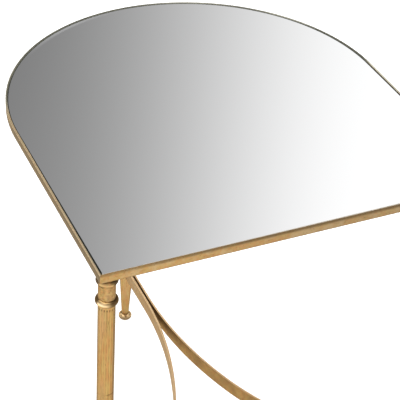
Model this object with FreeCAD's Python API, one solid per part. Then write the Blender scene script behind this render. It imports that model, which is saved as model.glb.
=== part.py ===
import FreeCAD, Part
import math
import os

# A small mirror-topped side table on three turned legs.
# Millimetres, +X to the right, +Y to the back, +Z up.
# The origin is on the floor, under the middle of the table's bounding box.
# The top is a D: one straight front edge, two straight sides, a half-round back.

# Top outline
TOP_WIDTH = 558.0
SIDE_LENGTH = 328.0
TABLE_HEIGHT = 645.0
CORNER_RADIUS = TOP_WIDTH / 2
TOP_DEPTH = SIDE_LENGTH + CORNER_RADIUS
FRONT_Y = -TOP_DEPTH / 2
BACK_Y = TOP_DEPTH / 2
ARC_CENTRE_Y = FRONT_Y + SIDE_LENGTH

# Rim of flat bar on edge, and the levels of what it holds
RIM_HEIGHT = 12.0
RIM_THICKNESS = 3.0
RIM_BOTTOM = TABLE_HEIGHT - RIM_HEIGHT
LEDGE_THICKNESS = 4.0
LEDGE_WIDTH = 14.0
LEDGE_TOP = RIM_BOTTOM + LEDGE_THICKNESS
BOARD_THICKNESS = 3.0
BOARD_GAP = 1.0
PANE_THICKNESS = 4.0
PANE_GAP = 0.9
PANE_ARRIS = 0.8
PANE_SLID_X = -0.5
PANE_SLID_Y = 0.4
PANE_TURNED = 0.19
PANE_BOTTOM = LEDGE_TOP + BOARD_THICKNESS
FRONT_GUSSET = 52.0
BACK_GUSSET_WIDTH = 56.0
BACK_GUSSET_DEPTH = 44.0

# Leg places and radii
LEG_INSET = 15.0
LEG_RADIUS = 11.2
BORE_RADIUS = 8.7
FLANGE_RADIUS = 14.2
FLANGE_BULGE = 4.0
FLANGE_MIDDLE = RIM_BOTTOM - 7.8
BEAD_RADIUS = 14.8
BEAD_BULGE = 5.0
BEAD_MIDDLE = RIM_BOTTOM - 39.8
SEAM_LEVEL = 440.0
SPIGOT_LENGTH = 24.0
SPIGOT_CHAMFER = 1.0

# Flutes round each shaft
FLUTE_COUNT = 20
FLUTE_CUTTER_RADIUS = 1.7
FLUTE_DEPTH = 0.55
FLUTE_TOP = BEAD_MIDDLE - 9.5
FLUTE_BOTTOM = 152.0

# Tapered foot, ball and glide
TAPER_TOP = 95.0
ANKLE_RADIUS = 6.5
BALL_RADIUS = 12.0
BALL_TOP = 15.2
BALL_FLAT_RADIUS = 6.2
BALL_SPIGOT_RADIUS = 3.0
BALL_SPIGOT_LENGTH = 8.0
GLIDE_THICKNESS = 3.0
GLIDE_RADIUS = 5.8

# Countersunk screw that holds each leg under its gusset plate
SCREW_RADIUS = 3.0
SCREW_HEAD_RADIUS = 6.0
SCREW_HEAD_HEIGHT = 3.0
SCREW_LENGTH = 30.0
SOCKET_WIDTH = 4.0
SOCKET_DEPTH = 2.0

# Stretchers: flat bar on edge, bent to arcs between the legs
BAR_THICKNESS = 3.2
BAR_HEIGHT = 25.0
BAR_BOTTOM = 104.0
PAIR_OFFSET = 3.3
END_REACH = 9.0
STRAIGHT_END_Y = FRONT_Y + 495.0
BACK_ARC_RADIUS = 657.0
ARC_JOIN_Y = FRONT_Y + 262.0
FRONT_PAIR_ANGLE = math.radians(28.2)

LEG_X = CORNER_RADIUS - LEG_INSET
FRONT_LEG_Y = FRONT_Y + LEG_INSET
BACK_LEG_Y = BACK_Y - LEG_INSET
LEGS = {
    "front_left": (-LEG_X, FRONT_LEG_Y),
    "front_right": (LEG_X, FRONT_LEG_Y),
    "rear": (0.0, BACK_LEG_Y),
}


def point(x, y, z=0.0):
    return FreeCAD.Vector(x, y, z)


def line(start, end):
    return Part.LineSegment(start, end).toShape()


def arc(start, middle, end):
    return Part.Arc(start, middle, end).toShape()


def d_plate(inset, bottom, thickness):
    """A plate of the top's outline, set in by inset on every side."""
    radius = CORNER_RADIUS - inset
    front = FRONT_Y + inset
    front_left = point(-radius, front, bottom)
    front_right = point(radius, front, bottom)
    right = point(radius, ARC_CENTRE_Y, bottom)
    back = point(0, ARC_CENTRE_Y + radius, bottom)
    left = point(-radius, ARC_CENTRE_Y, bottom)
    edges = [
        line(front_left, front_right),
        line(front_right, right),
        arc(right, back, left),
        line(left, front_left),
    ]
    return Part.Face(Part.Wire(edges)).extrude(point(0, 0, thickness))


def polygon_plate(corners, bottom, thickness):
    """A flat plate with straight edges through the given (x, y) corners."""
    points = [point(x, y, bottom) for x, y in corners]
    wire = Part.makePolygon(points + points[:1])
    return Part.Face(wire).extrude(point(0, 0, thickness))


def turned(profile):
    """Spin a closed outline about Z. The outline is a list of edges in the XZ plane."""
    face = Part.Face(Part.Wire(profile))
    return face.revolve(point(0, 0, 0), point(0, 0, 1), 360)


def turned_polygon(outline):
    """Spin a closed outline of straight lines, given as (radius, height) pairs."""
    points = [point(radius, 0, height) for radius, height in outline]
    ends = points[1:] + points[:1]
    return turned([line(start, end) for start, end in zip(points, ends)])


def at_leg(shape, leg):
    """A copy of a shape made on the Z axis, moved to one leg."""
    copy = shape.copy()
    copy.translate(point(*LEGS[leg]))
    return copy


def mirrored(shape):
    """The same shape on the other side of the table's middle plane."""
    return shape.mirror(point(0, 0, 0), point(1, 0, 0))


# Rim: a straight front rail, mitred to one strip bent round the sides and back.

def front_rail():
    inner = CORNER_RADIUS - RIM_THICKNESS
    corners = [
        (-CORNER_RADIUS, FRONT_Y),
        (CORNER_RADIUS, FRONT_Y),
        (inner, FRONT_Y + RIM_THICKNESS),
        (-inner, FRONT_Y + RIM_THICKNESS),
    ]
    return polygon_plate(corners, RIM_BOTTOM, RIM_HEIGHT)


def bent_rim():
    outside = d_plate(0, RIM_BOTTOM, RIM_HEIGHT)
    inside = d_plate(RIM_THICKNESS, RIM_BOTTOM, RIM_HEIGHT)
    return outside.cut(inside).cut(front_rail())


# Gusset plates in the rim's corners carry the legs; ledges between them carry the board.

def front_gusset(leg):
    side = 1 if leg == "front_right" else -1
    edge_x = side * (CORNER_RADIUS - RIM_THICKNESS)
    edge_y = FRONT_Y + RIM_THICKNESS
    corners = [
        (edge_x, edge_y),
        (edge_x, edge_y + FRONT_GUSSET),
        (edge_x - side * LEDGE_WIDTH, edge_y + FRONT_GUSSET),
        (edge_x - side * FRONT_GUSSET, edge_y + LEDGE_WIDTH),
        (edge_x - side * FRONT_GUSSET, edge_y),
    ]
    return polygon_plate(corners, RIM_BOTTOM, LEDGE_THICKNESS)


def back_gusset():
    inside = d_plate(RIM_THICKNESS, RIM_BOTTOM, LEDGE_THICKNESS)
    half = BACK_GUSSET_WIDTH / 2
    near = BACK_Y - BACK_GUSSET_DEPTH
    corners = [(-half, near), (half, near), (half, BACK_Y), (-half, BACK_Y)]
    return inside.common(polygon_plate(corners, RIM_BOTTOM, LEDGE_THICKNESS))


def gusset(leg):
    plain = back_gusset() if leg == "rear" else front_gusset(leg)
    return plain.cut(at_leg(screw_body(), leg))


def front_ledge():
    half = CORNER_RADIUS - RIM_THICKNESS - FRONT_GUSSET
    near = FRONT_Y + RIM_THICKNESS
    corners = [(-half, near), (half, near), (half, near + LEDGE_WIDTH), (-half, near + LEDGE_WIDTH)]
    return polygon_plate(corners, RIM_BOTTOM, LEDGE_THICKNESS)


def right_ledge():
    outside = d_plate(RIM_THICKNESS, RIM_BOTTOM, LEDGE_THICKNESS)
    inside = d_plate(RIM_THICKNESS + LEDGE_WIDTH, RIM_BOTTOM, LEDGE_THICKNESS)
    near = FRONT_Y + RIM_THICKNESS + FRONT_GUSSET
    half = BACK_GUSSET_WIDTH / 2
    corners = [(half, near), (CORNER_RADIUS, near), (CORNER_RADIUS, BACK_Y), (half, BACK_Y)]
    quarter = polygon_plate(corners, RIM_BOTTOM, LEDGE_THICKNESS)
    return outside.cut(inside).common(quarter)


# Board and mirror lie loose in the rim, the mirror on top.

def backing_board():
    return d_plate(RIM_THICKNESS + BOARD_GAP, LEDGE_TOP, BOARD_THICKNESS)


def mirror_pane():
    """The loose pane, slid and turned a little in its rim, so its gap opens at the front left."""
    pane = d_plate(RIM_THICKNESS + PANE_GAP, PANE_BOTTOM, PANE_THICKNESS)
    top = PANE_BOTTOM + PANE_THICKNESS
    top_edges = [edge for edge in pane.Edges if edge.BoundBox.ZMin > top - 0.01]
    pane = pane.makeChamfer(PANE_ARRIS, top_edges)
    pane.rotate(point(0, ARC_CENTRE_Y), point(0, 0, 1), PANE_TURNED)
    pane.translate(point(PANE_SLID_X, PANE_SLID_Y))
    return pane


# Leg pieces, each turned about the Z axis at its real height.

def screw_body():
    """The screw's outside, with no socket, used to cut its hole too."""
    tip = LEDGE_TOP - SCREW_LENGTH
    outline = [
        (0, LEDGE_TOP),
        (SCREW_HEAD_RADIUS, LEDGE_TOP),
        (SCREW_RADIUS, LEDGE_TOP - SCREW_HEAD_HEIGHT),
        (SCREW_RADIUS, tip),
        (0, tip),
    ]
    return turned_polygon(outline)


def screw():
    corner = SOCKET_WIDTH / math.sqrt(3)
    angles = [math.radians(60 * turn) for turn in range(6)]
    corners = [(corner * math.cos(angle), corner * math.sin(angle)) for angle in angles]
    socket = polygon_plate(corners, LEDGE_TOP - SOCKET_DEPTH, SOCKET_DEPTH)
    return screw_body().cut(socket)


def half_height(radius, bulge):
    """Half the height of a round ring where it meets the leg's surface."""
    return math.sqrt(bulge ** 2 - (LEG_RADIUS - radius + bulge) ** 2)


FLANGE_BOTTOM = FLANGE_MIDDLE - half_height(FLANGE_RADIUS, FLANGE_BULGE)
BEAD_TOP = BEAD_MIDDLE + half_height(BEAD_RADIUS, BEAD_BULGE)
BEAD_BOTTOM = BEAD_MIDDLE - half_height(BEAD_RADIUS, BEAD_BULGE)


def flange():
    """A short neck against the gusset, with a round ring at its foot."""
    ring_top = FLANGE_MIDDLE + half_height(FLANGE_RADIUS, FLANGE_BULGE)
    top_inside = point(SCREW_RADIUS, 0, RIM_BOTTOM)
    top_outside = point(LEG_RADIUS, 0, RIM_BOTTOM)
    ring_start = point(LEG_RADIUS, 0, ring_top)
    ring_end = point(LEG_RADIUS, 0, FLANGE_BOTTOM)
    bottom_inside = point(SCREW_RADIUS, 0, FLANGE_BOTTOM)
    profile = [
        line(top_inside, top_outside),
        line(top_outside, ring_start),
        arc(ring_start, point(FLANGE_RADIUS, 0, FLANGE_MIDDLE), ring_end),
        line(ring_end, bottom_inside),
        line(bottom_inside, top_inside),
    ]
    return turned(profile)


def capital():
    tip = BEAD_BOTTOM - SPIGOT_LENGTH
    outline = [
        (0, FLANGE_BOTTOM),
        (LEG_RADIUS, FLANGE_BOTTOM),
        (LEG_RADIUS, BEAD_TOP),
        (BORE_RADIUS, BEAD_TOP),
        (BORE_RADIUS, tip + SPIGOT_CHAMFER),
        (BORE_RADIUS - SPIGOT_CHAMFER, tip),
        (0, tip),
    ]
    return turned_polygon(outline).cut(screw_body())


def bead():
    top = point(LEG_RADIUS, 0, BEAD_TOP)
    bottom = point(LEG_RADIUS, 0, BEAD_BOTTOM)
    inner_top = point(BORE_RADIUS, 0, BEAD_TOP)
    inner_bottom = point(BORE_RADIUS, 0, BEAD_BOTTOM)
    profile = [
        line(inner_top, top),
        arc(top, point(BEAD_RADIUS, 0, BEAD_MIDDLE), bottom),
        line(bottom, inner_bottom),
        line(inner_bottom, inner_top),
    ]
    return turned(profile)


def flute_cutters():
    """Round-ended cutters standing round the leg, one for each flute."""
    length = FLUTE_TOP - FLUTE_BOTTOM
    reach = LEG_RADIUS - FLUTE_DEPTH + FLUTE_CUTTER_RADIUS
    cylinder = Part.makeCylinder(FLUTE_CUTTER_RADIUS, length, point(reach, 0, FLUTE_BOTTOM))
    upper_end = Part.makeSphere(FLUTE_CUTTER_RADIUS, point(reach, 0, FLUTE_TOP))
    lower_end = Part.makeSphere(FLUTE_CUTTER_RADIUS, point(reach, 0, FLUTE_BOTTOM))
    cutter = cylinder.fuse([upper_end, lower_end])
    cutters = []
    for turn in range(FLUTE_COUNT):
        copy = cutter.copy()
        copy.rotate(point(0, 0, 0), point(0, 0, 1), 360 * turn / FLUTE_COUNT)
        cutters.append(copy)
    return cutters


def tube(bottom, top):
    outside = Part.makeCylinder(LEG_RADIUS, top - bottom, point(0, 0, bottom))
    bore = Part.makeCylinder(BORE_RADIUS, top - bottom, point(0, 0, bottom))
    return outside.cut(bore)


def upper_shaft():
    return tube(SEAM_LEVEL, BEAD_BOTTOM).cut(flute_cutters())


def lower_shaft():
    return tube(TAPER_TOP, SEAM_LEVEL).cut(flute_cutters())


def coupling():
    """The plug inside the two shafts, across their seam."""
    outline = [
        (0, SEAM_LEVEL + SPIGOT_LENGTH),
        (BORE_RADIUS - SPIGOT_CHAMFER, SEAM_LEVEL + SPIGOT_LENGTH),
        (BORE_RADIUS, SEAM_LEVEL + SPIGOT_LENGTH - SPIGOT_CHAMFER),
        (BORE_RADIUS, SEAM_LEVEL - SPIGOT_LENGTH + SPIGOT_CHAMFER),
        (BORE_RADIUS - SPIGOT_CHAMFER, SEAM_LEVEL - SPIGOT_LENGTH),
        (0, SEAM_LEVEL - SPIGOT_LENGTH),
    ]
    return turned_polygon(outline)


def foot():
    outline = [
        (0, TAPER_TOP + SPIGOT_LENGTH),
        (BORE_RADIUS - SPIGOT_CHAMFER, TAPER_TOP + SPIGOT_LENGTH),
        (BORE_RADIUS, TAPER_TOP + SPIGOT_LENGTH - SPIGOT_CHAMFER),
        (BORE_RADIUS, TAPER_TOP),
        (LEG_RADIUS, TAPER_TOP),
        (ANKLE_RADIUS, BALL_TOP),
        (BALL_SPIGOT_RADIUS, BALL_TOP),
        (BALL_SPIGOT_RADIUS, BALL_TOP - BALL_SPIGOT_LENGTH),
        (0, BALL_TOP - BALL_SPIGOT_LENGTH),
    ]
    return turned_polygon(outline)


def ball():
    socket_bottom = BALL_TOP - BALL_SPIGOT_LENGTH
    middle = (BALL_TOP + GLIDE_THICKNESS) / 2
    top = point(ANKLE_RADIUS, 0, BALL_TOP)
    bottom = point(BALL_FLAT_RADIUS, 0, GLIDE_THICKNESS)
    socket_mouth = point(BALL_SPIGOT_RADIUS, 0, BALL_TOP)
    socket_corner = point(BALL_SPIGOT_RADIUS, 0, socket_bottom)
    profile = [
        line(socket_mouth, top),
        arc(top, point(BALL_RADIUS, 0, middle), bottom),
        line(bottom, point(0, 0, GLIDE_THICKNESS)),
        line(point(0, 0, GLIDE_THICKNESS), point(0, 0, socket_bottom)),
        line(point(0, 0, socket_bottom), socket_corner),
        line(socket_corner, socket_mouth),
    ]
    return turned(profile)


def glide():
    return Part.makeCylinder(GLIDE_RADIUS, GLIDE_THICKNESS)


# Stretchers: at each leg two bars run in side by side, then part in arcs to the other legs.

def tangent_arc(start, heading, end):
    """The arc that leaves start along heading and reaches end."""
    chord = end - start
    turn = math.atan2(chord.y, chord.x) - math.atan2(heading.y, heading.x)
    across = point(chord.y, -chord.x).normalize()
    middle = (start + end) * 0.5 + across * (chord.Length / 2 * math.tan(turn / 2))
    return arc(start, middle, end)


def bar(path, heading, leg_names):
    """Flat bar on edge along the path of its underside, coped to the legs that it meets."""
    start = path[0].firstVertex().Point
    across = point(-heading.y, heading.x) * (BAR_THICKNESS / 2)
    up = point(0, 0, BAR_HEIGHT)
    corners = [start - across, start + across, start + across + up, start - across + up]
    section = Part.makePolygon(corners + corners[:1])
    swept = Part.Wire(path).makePipeShell([section], True, True)
    for leg in leg_names:
        leg_x, leg_y = LEGS[leg]
        shaft = Part.makeCylinder(LEG_RADIUS, BAR_HEIGHT, point(leg_x, leg_y, BAR_BOTTOM))
        swept = swept.cut(shaft)
    return swept


def bar_end(side_bar):
    """Where a bar's middle line stops at the front right leg, for the side or the front bar."""
    inward = point(-math.cos(FRONT_PAIR_ANGLE), math.sin(FRONT_PAIR_ANGLE))
    across = point(math.sin(FRONT_PAIR_ANGLE), math.cos(FRONT_PAIR_ANGLE))
    offset = PAIR_OFFSET if side_bar else -PAIR_OFFSET
    return point(LEG_X, FRONT_LEG_Y, BAR_BOTTOM) + inward * END_REACH + across * offset


def right_stretcher():
    centre_x = PAIR_OFFSET + BACK_ARC_RADIUS
    drop = STRAIGHT_END_Y - ARC_JOIN_Y
    join_x = centre_x - math.sqrt(BACK_ARC_RADIUS ** 2 - drop ** 2)
    back_end = point(PAIR_OFFSET, BACK_LEG_Y - END_REACH, BAR_BOTTOM)
    straight_end = point(PAIR_OFFSET, STRAIGHT_END_Y, BAR_BOTTOM)
    join = point(join_x, ARC_JOIN_Y, BAR_BOTTOM)
    join_heading = point(drop, join_x - centre_x)
    path = [
        line(back_end, straight_end),
        tangent_arc(straight_end, point(0, -1), join),
        tangent_arc(join, join_heading, bar_end(True)),
    ]
    return bar(path, point(0, -1), ["rear", "front_right"])


def front_stretcher():
    right_end = bar_end(False)
    left_end = point(-right_end.x, right_end.y, BAR_BOTTOM)
    heading = point(math.cos(FRONT_PAIR_ANGLE), math.sin(FRONT_PAIR_ANGLE))
    path = [tangent_arc(left_end, heading, right_end)]
    return bar(path, heading, ["front_left", "front_right"])


def build():
    nodes = {
        "front_rail": front_rail(),
        "bent_rim": bent_rim(),
        "front_ledge": front_ledge(),
        "right_ledge": right_ledge(),
        "left_ledge": mirrored(right_ledge()),
        "backing_board": backing_board(),
        "mirror_pane": mirror_pane(),
        "right_stretcher": right_stretcher(),
        "left_stretcher": mirrored(right_stretcher()),
        "front_stretcher": front_stretcher(),
    }
    leg_pieces = {
        "screw": screw(),
        "flange": flange(),
        "capital": capital(),
        "bead": bead(),
        "upper_shaft": upper_shaft(),
        "coupling": coupling(),
        "lower_shaft": lower_shaft(),
        "foot": foot(),
        "ball": ball(),
        "glide": glide(),
    }
    for leg in LEGS:
        nodes[leg + "_gusset"] = gusset(leg)
        for piece, shape in leg_pieces.items():
            nodes[leg + "_leg_" + piece] = at_leg(shape, leg)
    return nodes


os.makedirs("parts", exist_ok=True)
for name, shape in build().items():
    shape.exportStep("parts/" + name + ".step")
    print(name, "solids", len(shape.Solids), "valid", shape.isValid(), "volume", round(shape.Volume, 1))
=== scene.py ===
import math

import bmesh
import bpy
from mathutils import Matrix, Vector


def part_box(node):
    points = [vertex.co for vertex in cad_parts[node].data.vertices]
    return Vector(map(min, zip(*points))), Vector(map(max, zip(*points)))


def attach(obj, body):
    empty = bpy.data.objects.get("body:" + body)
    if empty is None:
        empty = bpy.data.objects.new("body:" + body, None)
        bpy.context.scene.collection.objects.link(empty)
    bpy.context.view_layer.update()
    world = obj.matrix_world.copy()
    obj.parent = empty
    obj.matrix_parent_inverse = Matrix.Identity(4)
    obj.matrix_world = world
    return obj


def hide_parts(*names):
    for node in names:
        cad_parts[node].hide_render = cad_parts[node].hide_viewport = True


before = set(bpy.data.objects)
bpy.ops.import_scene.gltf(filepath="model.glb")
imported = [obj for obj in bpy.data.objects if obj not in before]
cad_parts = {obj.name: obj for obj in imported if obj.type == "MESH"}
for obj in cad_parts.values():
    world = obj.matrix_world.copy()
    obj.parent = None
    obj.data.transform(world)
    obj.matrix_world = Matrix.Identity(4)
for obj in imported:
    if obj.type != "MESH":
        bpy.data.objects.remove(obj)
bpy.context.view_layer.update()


# ---------------------------------------------------------------- Front rail
# A flat steel bar on edge, mitred at both ends and welded to the bent rim.
# Its arrises are eased with a file, then it is laid with gold leaf over red
# bole, toned with a thin brown wash and rubbed back.

RAIL_EASE = 0.0006
RAIL_LOW, RAIL_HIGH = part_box("front_rail")
RIM_LOW, RIM_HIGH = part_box("bent_rim")
BAR_WIDTH = RAIL_HIGH.y - RAIL_LOW.y
RIM_RADIUS = RIM_HIGH.x
ROUND_CENTRE = Vector((0, RIM_HIGH.y - RIM_RADIUS, 0))
EASE_CUTS = 4
RAIL_CUTS = 24
MITRE_REACH = 0.03
MERGED = 0.000002
SHARP = 32


def choose(kind, passes):
    """Select the open mesh's verts, edges or faces whose middle passes a test."""
    mesh = bmesh.from_edit_mesh(bpy.context.edit_object.data)
    bpy.ops.mesh.select_mode(type={"verts": "VERT", "edges": "EDGE", "faces": "FACE"}[kind])
    bpy.ops.mesh.select_all(action="DESELECT")
    for part in getattr(mesh, kind):
        points = [part] if kind == "verts" else part.verts
        if passes(sum((point.co for point in points), Vector()) / len(points)):
            part.select_set(True)
    mesh.select_flush_mode()
    bmesh.update_edit_mesh(bpy.context.edit_object.data)


def open_mesh(name):
    """Name the new primitive, fix its place in its mesh and go into edit mode."""
    piece = bpy.context.object
    piece.name = piece.data.name = name
    bpy.ops.object.transform_apply(location=True, rotation=True, scale=True)
    bpy.ops.object.mode_set(mode="EDIT")
    bpy.ops.mesh.select_all(action="SELECT")
    return piece


def close_mesh(piece, sharp=SHARP):
    """Merge doubles, turn the faces outwards, leave edit mode and shade the soft edges smooth."""
    bpy.ops.mesh.select_mode(type="VERT")
    bpy.ops.mesh.select_all(action="SELECT")
    bpy.ops.mesh.remove_doubles(threshold=MERGED)
    bpy.ops.mesh.normals_make_consistent(inside=False)
    bpy.ops.mesh.select_all(action="DESELECT")
    bpy.ops.object.mode_set(mode="OBJECT")
    bpy.ops.object.shade_smooth_by_angle(angle=math.radians(sharp))
    return piece


def saw_bar(name, end, heading, width, height, ease):
    """The sawn end of a flat bar on edge with eased arrises, open for drawing out along its heading."""
    bpy.ops.object.select_all(action="DESELECT")
    bpy.ops.mesh.primitive_plane_add(
        size=1,
        location=end + Vector((0, 0, height / 2)),
        rotation=(math.pi / 2, 0, math.atan2(-heading.x, heading.y)),
    )
    bpy.context.object.scale = (width, height, 1)
    piece = open_mesh(name)
    bpy.ops.mesh.bevel(offset=ease, segments=EASE_CUTS, affect="VERTICES")
    return piece


def draw_bar(run, cuts):
    """Draw the selected end along a straight run."""
    for cut in range(cuts):
        bpy.ops.mesh.extrude_region_move(TRANSFORM_OT_translate={"value": run / cuts})


def bend_bar(centre, degrees, cuts):
    """Bend the selected end round a centre, to the left where the angle is positive."""
    bpy.ops.mesh.spin(steps=cuts, angle=-math.radians(degrees), center=centre, axis=(0, 0, 1))


def mitre(corner, away):
    """Saw the open bar off at a corner, keeping what lies against the direction away."""
    choose("verts", lambda place: (place.xy - corner.xy).length < MITRE_REACH)
    bpy.ops.mesh.bisect(plane_co=corner, plane_no=away, use_fill=True, clear_outer=True)


class Reading:
    """One output of a node. Sums written with it become Math nodes in the same recipe."""

    def __init__(self, recipe, socket):
        self.recipe = recipe
        self.socket = socket

    def sum(self, operation, first, second):
        return self.recipe.node("Math", {"operation": operation}, {0: first, 1: second})

    def __add__(self, other):
        return self.sum("ADD", self, other)

    def __radd__(self, other):
        return self.sum("ADD", other, self)

    def __sub__(self, other):
        return self.sum("SUBTRACT", self, other)

    def __rsub__(self, other):
        return self.sum("SUBTRACT", other, self)

    def __mul__(self, other):
        return self.sum("MULTIPLY", self, other)

    def __rmul__(self, other):
        return self.sum("MULTIPLY", other, self)


class Recipe:
    """The node tree of a finish or a light."""

    def __init__(self, tree):
        self.tree = tree

    def node(self, kind, settings={}, inputs={}, output=0):
        """Add a node, make its settings, then set or link its sockets."""
        made = self.tree.nodes.new("ShaderNode" + kind)
        for name, value in settings.items():
            setattr(made, name, value)
        self.feed(made, inputs)
        return Reading(self, made.outputs[output])

    def feed(self, made, inputs):
        for name, value in inputs.items():
            if isinstance(value, Reading):
                self.tree.links.new(value.socket, made.inputs[name])
            else:
                made.inputs[name].default_value = value

    def place(self):
        return self.node("TexCoord", output="Object")

    def axis(self, vector, letter):
        return self.node("SeparateXYZ", {}, {0: vector}, letter)

    def stretch(self, vector, amounts):
        return self.node("VectorMath", {"operation": "MULTIPLY"}, {0: vector, 1: amounts})

    def kept(self, name):
        """A number that the mesh keeps at each of its points."""
        return self.node("Attribute", {"attribute_name": name}, output="Fac")

    def noise(self, vector, scale, detail=3.0, roughness=0.55):
        grains = {"Vector": vector, "Scale": scale, "Detail": detail, "Roughness": roughness}
        return self.node("TexNoise", {}, grains, "Fac")

    def rise(self, value, low, high):
        """0 below low, 1 above high, and a smooth rise between them."""
        ends = {"Value": value, "From Min": low, "From Max": high}
        return self.node("MapRange", {"interpolation_type": "SMOOTHSTEP"}, ends)

    def size(self, value):
        return self.node("Math", {"operation": "ABSOLUTE"}, {0: value})

    def root(self, value):
        return self.node("Math", {"operation": "SQRT"}, {0: value})

    def angle(self, rise, run):
        """The angle whose tangent is rise over run, all the way round."""
        return self.node("Math", {"operation": "ARCTAN2"}, {0: rise, 1: run})

    def near(self, value, level, reach):
        """1 at a level, falling smoothly to 0 at reach from it."""
        return 1 - self.rise(self.size(value - level), 0.0, reach)

    def either(self, first, second):
        return self.node("Math", {"operation": "MAXIMUM"}, {0: first, 1: second})

    def blend(self, share, under, over):
        """One colour laid over another, by a share from 0 to 1."""
        return self.node("Mix", {"data_type": "RGBA", "clamp_factor": True}, {0: share, 6: under, 7: over}, 2)

    def bump(self, height, depth, strength=1.0):
        return self.node("Bump", {}, {"Strength": strength, "Distance": depth, "Height": height}, "Normal")


def new_finish(name):
    """A new material and its recipe, with its main shader ready to be fed."""
    material = bpy.data.materials.new(name)
    material.use_nodes = True
    recipe = Recipe(material.node_tree)
    recipe.shader = material.node_tree.nodes["Principled BSDF"]
    return material, recipe


def coat(piece, *materials):
    """Give a piece its finish, or its finishes, in slot order."""
    piece.data.materials.clear()
    for material in materials:
        piece.data.materials.append(material)


# The cream is laid where leaf is worn bare and also as painted highlights; the films and the umber are films
# and washes, and are also laid as painted shade on sides turned from the light.
LEAF_YELLOW = (0.445, 0.295, 0.104, 1)
LEAF_ORANGE = (0.465, 0.245, 0.088, 1)
LEAF_PALE = (0.480, 0.335, 0.165, 1)
LEAF_CREAM_BARE_AND_HIGHLIGHT = (0.800, 0.580, 0.340, 1)
LEAF_DEEP = (0.240, 0.130, 0.036, 1)
LEAF_EDGE = (0.900, 0.720, 0.480, 1)
LEAF_RELIEF = 0.00025
EVEN_GRAIN = (1.0, 1.0, 1.0)
DULL_FILM_AND_SHADE = (0.120, 0.100, 0.072, 1)
BROWN_FILM_AND_SHADE = (0.135, 0.088, 0.045, 1)
UMBER_WASH_AND_SHADE = (0.075, 0.044, 0.018, 1)


def gold_leaf(name, grain, brushed, wear_and_light, wash_and_shade_colour=UMBER_WASH_AND_SHADE, film=DULL_FILM_AND_SHADE, bare_and_highlight_colour=LEAF_CREAM_BARE_AND_HIGHLIGHT, pale=0.35):
    """Toned gold leaf. Grain and brushed stretch its mottling and its brush marks. The wear function gives
    the shares of washes, of film over the gold, and of gold worn bright; in several finishes these shares
    also lay painted shade and painted highlights on the leaf."""
    material, recipe = new_finish(name)
    place = recipe.place()
    grained = recipe.stretch(place, grain)
    cloud = recipe.noise(grained, 70.0, 2.0)
    mottle = recipe.noise(grained, 230.0, 4.0, 0.62)
    brush = recipe.noise(recipe.stretch(place, brushed), 1.0, 4.0, 0.6)
    grit = recipe.noise(place, 900.0, 2.0, 0.5)
    speck = recipe.rise(recipe.noise(grained, 420.0, 1.0), 0.68, 0.74)
    wash_and_shade_share, film_and_shade_share, rubbed_and_highlight_share = wear_and_light(recipe, place)

    colour = recipe.blend(recipe.rise(mottle, 0.40, 0.60), LEAF_YELLOW, LEAF_ORANGE)
    colour = recipe.blend(recipe.rise(cloud, 0.45, 0.65) * pale, colour, LEAF_PALE)
    colour = recipe.blend(recipe.rise(brush, 0.48, 0.76) * 0.45, colour, LEAF_DEEP)
    colour = recipe.blend(rubbed_and_highlight_share, colour, bare_and_highlight_colour)
    colour = recipe.blend(film_and_shade_share, colour, film)
    colour = recipe.blend(speck * 0.5, colour, wash_and_shade_colour)
    colour = recipe.blend(wash_and_shade_share, colour, wash_and_shade_colour)

    height = mottle * 0.5 + brush * 0.8 + grit * 0.25
    recipe.feed(recipe.shader, {
        "Base Color": colour,
        "Metallic": 0.92 - wash_and_shade_share * 0.45 - film_and_shade_share * 0.25,
        "Roughness": 0.40 + mottle * 0.10 + brush * 0.06 + wash_and_shade_share * 0.18,
        "Specular Tint": LEAF_EDGE,
        "Normal": recipe.bump(height, LEAF_RELIEF, 0.55),
    })
    return material


RAIL_CHIPS = (-0.217, -0.071)
CHIP_REACH = 0.0030
TOP_WASH = 0.0042


def rail_wear(recipe, place):
    """Wash all along the top and in two chips on the lower arris, and more dull film towards the right."""
    level = recipe.axis(place, "Z")
    along = recipe.axis(place, "X")
    broken = recipe.noise(place, 70.0, 3.0)
    kept = recipe.rise(along, -0.26, -0.08) * 0.26 + broken * 0.3 + 0.24
    top = recipe.rise(level, RAIL_HIGH.z - TOP_WASH, RAIL_HIGH.z - 0.0002) * kept
    under = (1 - recipe.rise(level, RAIL_LOW.z + 0.0002, RAIL_LOW.z + 0.0018)) * broken * 0.9
    wash_and_shade_share = recipe.either(top, under)
    lower_arris = 1 - recipe.rise(level, RAIL_LOW.z + 0.0008, RAIL_LOW.z + 0.0024)
    for chip in RAIL_CHIPS:
        wash_and_shade_share = recipe.either(wash_and_shade_share, recipe.near(along, chip, CHIP_REACH) * lower_arris * 0.95)
    return wash_and_shade_share, recipe.rise(along, -0.24, 0.12) * 0.34 + 0.13, 0.0


rail = saw_bar(
    "front_rail_bar",
    Vector((RAIL_LOW.x, (RAIL_LOW.y + RAIL_HIGH.y) / 2, RAIL_LOW.z)),
    Vector((1, 0, 0)),
    BAR_WIDTH,
    RAIL_HIGH.z - RAIL_LOW.z,
    RAIL_EASE,
)
draw_bar(Vector((RAIL_HIGH.x - RAIL_LOW.x, 0, 0)), RAIL_CUTS)
mitre(Vector((RAIL_LOW.x, RAIL_LOW.y, 0)), Vector((-1, 1, 0)))
mitre(Vector((RAIL_HIGH.x, RAIL_LOW.y, 0)), Vector((1, 1, 0)))
close_mesh(rail)
rail_gold = gold_leaf("gold_leaf_on_rail", EVEN_GRAIN, (90.0, 420.0, 260.0), rail_wear, pale=0.85)
coat(rail, rail_gold)
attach(rail, "root")
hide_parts("front_rail")


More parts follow.
